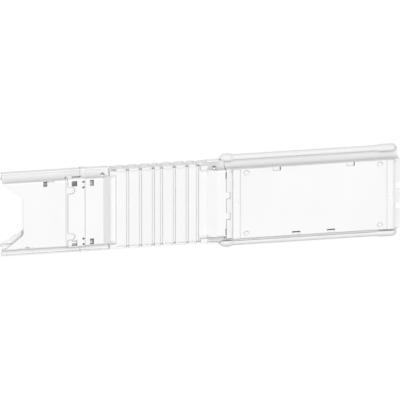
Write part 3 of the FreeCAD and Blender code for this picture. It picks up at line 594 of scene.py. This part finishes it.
class BUSWAY_OT_rivets(bpy.types.Operator):
    """Rivet heads in the corners and columns of both covers"""
    bl_idname = "busway.rivets"
    bl_label = "Set the cover rivets"

    def execute(self, context):
        sizes = context.scene.busway.fastener
        rivets = []
        studs = []
        for node, way in (("cover_front", 1), ("cover_back", -1)):
            low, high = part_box(node)
            crest = high.z if way > 0 else low.z
            for x in (low.x + sizes.rivet_inset, high.x - sizes.rivet_inset):
                for y in (-sizes.rivet_offset, sizes.rivet_offset):
                    rivets.append(((x, y, crest - way * sizes.dimple_floor), (0, 0, way)))
            for x in (low.x + sizes.stud_inset, high.x - sizes.stud_inset):
                studs.append(((x, 0, crest - way * sizes.stud_floor), (0, 0, way)))
        values = {"seed": sizes.seed, "material": bpy.data.materials["casing_enamel"]}
        large = {"radius": sizes.rivet_radius, "rise": sizes.rivet_rise}
        small = {"radius": sizes.stud_radius, "rise": sizes.stud_rise}
        set_heads("cover_rivets", "joint_box", rivets, values | large)
        set_heads("column_rivets", "joint_box", studs, values | small)
        return {"FINISHED"}


class BUSWAY_OT_screws(bpy.types.Operator):
    """Screw heads in the coves of both adapters"""
    bl_idname = "busway.screws"
    bl_label = "Set the cove screws"

    def execute(self, context):
        sizes = context.scene.busway.fastener
        values = {"radius": sizes.screw_radius, "rise": sizes.screw_rise, "seed": sizes.seed}
        values["material"] = bpy.data.materials["screw_steel"]
        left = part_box("left_adapter_front")[1].x - sizes.left_screw
        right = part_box("right_adapter_front")[0].x + sizes.right_screw
        for name, body, place in (("left_screws", "male_end", left), ("right_screws", "joint_box", right)):
            set_heads(name, body, self.spots(place, sizes), values)
        return {"FINISHED"}

    def spots(self, place, sizes):
        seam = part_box("left_adapter_front")[0].z
        places = []
        for side in (-1, 1):
            for way in (-1, 1):
                point = (place, side * sizes.screw_offset, seam + way * sizes.screw_depth)
                facing = (0, side * math.sin(sizes.screw_tilt), way * math.cos(sizes.screw_tilt))
                places.append((point, facing))
        return places


class BUSWAY_OT_stage(bpy.types.Operator):
    """White floor, soft light from above the front face, and the camera of the picture"""
    bl_idname = "busway.stage"
    bl_label = "Set the stage"

    def execute(self, context):
        stage = context.scene.busway.stage
        self.floor(stage)
        self.light(context.scene, stage)
        self.camera(context.scene, stage)
        context.scene.view_settings.view_transform = "Standard"
        return {"FINISHED"}

    def floor(self, stage):
        corners = [(x * FLOOR_REACH, y * FLOOR_REACH, 0) for x, y in ((-1, -1), (1, -1), (1, 1), (-1, 1))]
        mesh = bpy.data.meshes.new("floor")
        mesh.from_pydata(corners, [], [(0, 1, 2, 3)])
        material, nodes, links, main = shader("floor")
        nodes.remove(main)
        pale = nodes.new("ShaderNodeBsdfDiffuse")
        pale.inputs["Color"].default_value = stage.floor_colour
        dull = nodes.new("ShaderNodeBsdfDiffuse")
        dull.inputs["Color"].default_value = stage.floor_bounce
        white = nodes.new("ShaderNodeMixShader")
        white.inputs["Fac"].default_value = stage.floor_glow
        links.new(pale.outputs["BSDF"], white.inputs[1])
        links.new(nodes.new("ShaderNodeEmission").outputs["Emission"], white.inputs[2])
        mix = nodes.new("ShaderNodeMixShader")
        links.new(in_view(nodes, links), mix.inputs["Fac"])
        links.new(dull.outputs["BSDF"], mix.inputs[1])
        links.new(white.outputs["Shader"], mix.inputs[2])
        links.new(mix.outputs["Shader"], nodes["Material Output"].inputs["Surface"])
        mesh.materials.append(material)
        floor = bpy.data.objects.new("floor", mesh)
        bpy.context.scene.collection.objects.link(floor)

    def light(self, scene, stage):
        lamp = bpy.data.lights.new("key", "SUN")
        lamp.energy = stage.key_strength
        lamp.angle = stage.key_angle
        key = bpy.data.objects.new("key", lamp)
        key.rotation_mode = "QUATERNION"
        key.rotation_quaternion = Vector(stage.key_from).to_track_quat("Z", "Y")
        scene.collection.objects.link(key)
        world = bpy.data.worlds.new("studio")
        world.use_nodes = True
        nodes = world.node_tree.nodes
        links = world.node_tree.links
        even = nodes["Background"]
        even.inputs["Strength"].default_value = stage.fill
        white = nodes.new("ShaderNodeBackground")
        white.inputs["Color"].default_value = (1, 1, 1, 1)
        even.inputs["Color"].default_value = (1, 1, 1, 1)
        mix = nodes.new("ShaderNodeMixShader")
        links.new(in_view(nodes, links), mix.inputs["Fac"])
        links.new(even.outputs["Background"], mix.inputs[1])
        links.new(white.outputs["Background"], mix.inputs[2])
        links.new(mix.outputs["Shader"], nodes["World Output"].inputs["Surface"])
        scene.world = world

    def camera(self, scene, stage):
        back = Vector((-math.sin(stage.yaw) * math.cos(stage.rise), math.sin(stage.rise),
                       math.cos(stage.yaw) * math.cos(stage.rise)))
        right = Vector((math.cos(stage.yaw), 0, math.sin(stage.yaw)))
        turn = Matrix((right, back.cross(right), back)).transposed()
        data = bpy.data.cameras.new("camera")
        data.lens = stage.lens
        distance = stage.width * data.lens / data.sensor_width
        data.clip_end = 2 * distance
        camera = bpy.data.objects.new("camera", data)
        camera.matrix_world = Matrix.Translation(Vector(stage.target) + back * distance) @ turn.to_4x4()
        scene.collection.objects.link(camera)
        scene.camera = camera


class BUSWAY_PT_panel(bpy.types.Panel):
    """Steps of the busway elbow, in order"""
    bl_idname = "BUSWAY_PT_panel"
    bl_label = "Busway Elbow"
    bl_space_type = "VIEW_3D"
    bl_region_type = "UI"
    bl_category = "Busway"

    def draw(self, context):
        for step in STEPS:
            self.layout.operator(step.bl_idname)


STEPS = (BUSWAY_OT_casing, BUSWAY_OT_chain, BUSWAY_OT_rails, BUSWAY_OT_conductors, BUSWAY_OT_rivets,
         BUSWAY_OT_screws, BUSWAY_OT_stage)
GROUPS = (EnamelSettings, MetalSettings, FastenerSettings, StageSettings, BuswaySettings)
CLASSES = GROUPS + STEPS + (BUSWAY_PT_panel,)


def register():
    for item in CLASSES:
        bpy.utils.register_class(item)
    bpy.types.Scene.busway = PointerProperty(type=BuswaySettings)


def unregister():
    del bpy.types.Scene.busway
    for item in reversed(CLASSES):
        bpy.utils.unregister_class(item)


def main():
    register()
    for step in STEPS:
        group, name = step.bl_idname.split(".")
        getattr(getattr(bpy.ops, group), name)()
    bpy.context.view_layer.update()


if __name__ == "__main__":
    main()
